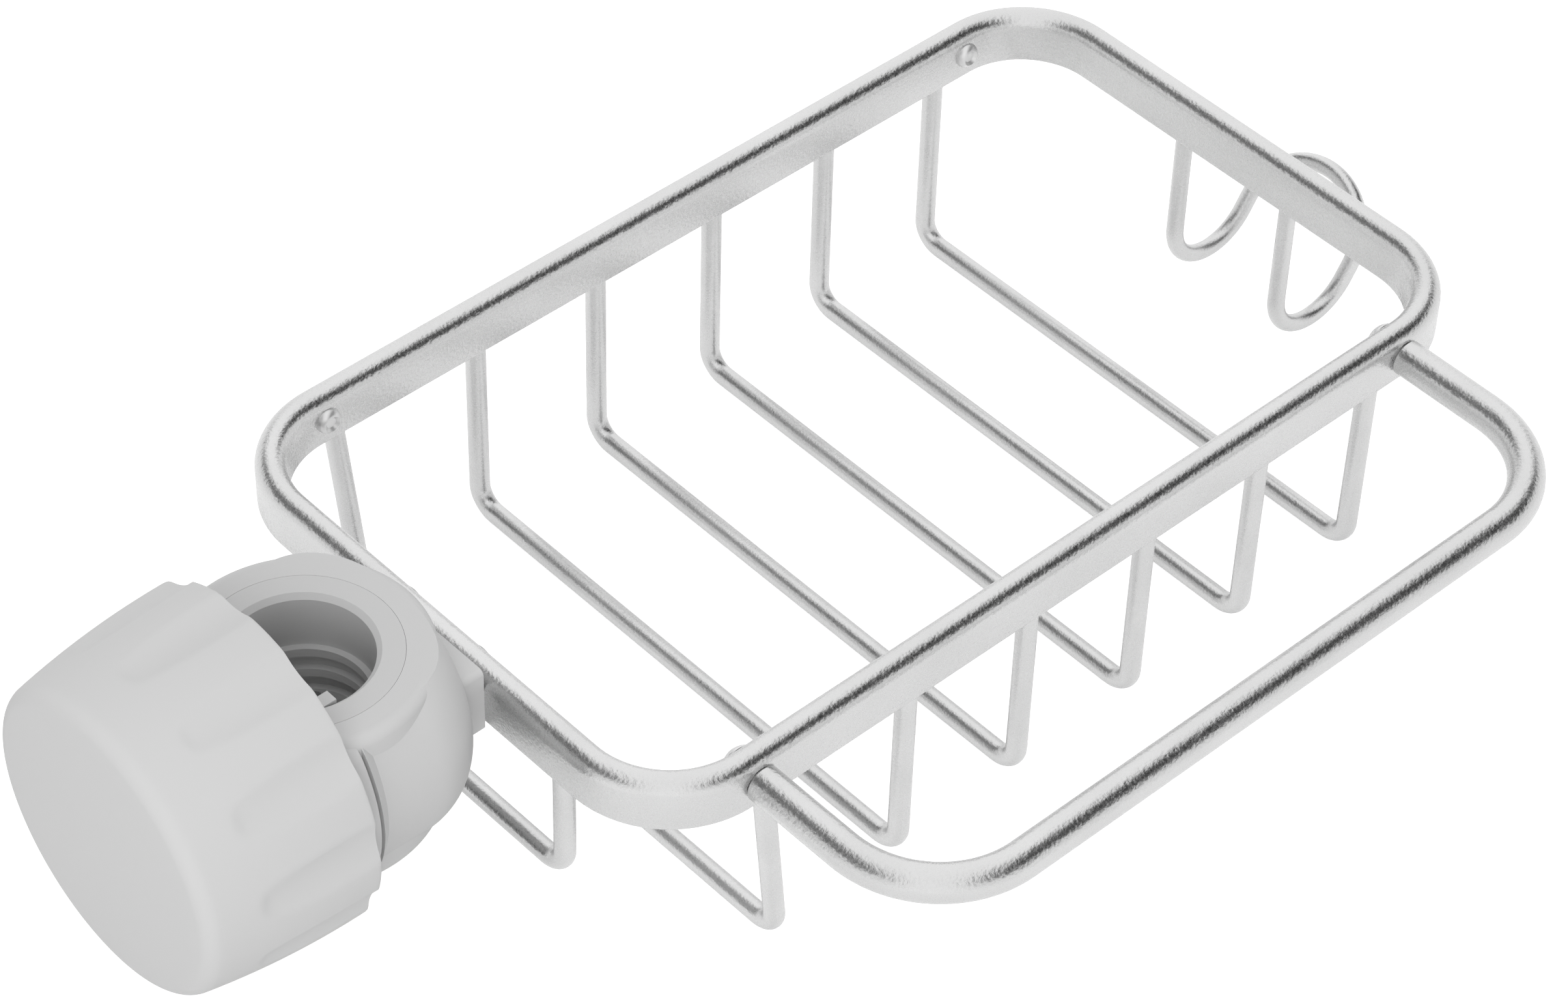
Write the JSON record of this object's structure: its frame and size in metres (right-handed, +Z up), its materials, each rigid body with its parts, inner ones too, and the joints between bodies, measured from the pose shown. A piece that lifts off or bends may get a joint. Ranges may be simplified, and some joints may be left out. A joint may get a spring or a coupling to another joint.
{
  "type": "sink drain rack",
  "caption": "Shallow wire basket with a towel rail on its long side and a hook at its end, held to a tap's upright pipe by a ring clamp with a large fluted knob.",
  "frame": {"origin": "middle of the clamp's bore, where the pipe's axis crosses the knob's axis", "axes": "+X along the rack away from the knob, +Y away from the towel rail, +Z up along the pipe"},
  "size_m": [0.2608, 0.1441, 0.0685],
  "materials": {
    "satin_aluminium": "bead-blasted and clear anodised, fine grain",
    "satin_wire": "bead-blasted and clear anodised wire",
    "bright_steel": "plain bright steel",
    "body_plastic": "light grey moulded plastic, fine matt texture",
    "liner_plastic": "light grey moulded plastic",
    "pad_rubber": "soft matt rubber",
    "knob_plastic": "light grey moulded plastic, fine matt texture"
  },
  "bodies": {
    "rack": {"rim_frame": "satin_aluminium", "cross_wire_1": "satin_wire", "cross_wire_2": "satin_wire", "cross_wire_3": "satin_wire", "cross_wire_4": "satin_wire", "cross_wire_5": "satin_wire", "cross_wire_6": "satin_wire", "end_wire": "satin_wire", "hook_wire": "satin_wire", "towel_rail": "satin_aluminium", "towel_screw_left": "bright_steel", "towel_screw_right": "bright_steel", "rear_rivet_left": "bright_steel", "rear_rivet_right": "bright_steel", "clamp_body": "body_plastic", "clamp_screw_front": "bright_steel", "clamp_screw_rear": "bright_steel", "pipe_liner": "liner_plastic"},
    "pad": {"pressure_pad": "liner_plastic", "pad_facings": "pad_rubber"},
    "knob": {"knob": "knob_plastic"}
  },
  "joints": [
    {"name": "pad_slide", "type": "slide", "parent": "rack", "child": "pad", "axis": [1, 0, 0], "range_m": [-0.00905, 0.00105]},
    {"name": "knob_turn", "type": "hinge", "parent": "pad", "child": "knob", "pos_m": [0, 0, 0], "axis": [1, 0, 0], "range_deg": [-1080, 120]}
  ],
  "couplings": [
    {"joint": "pad_slide", "follows": "knob_turn", "m_per_rad": 0.00047746}
  ]
}
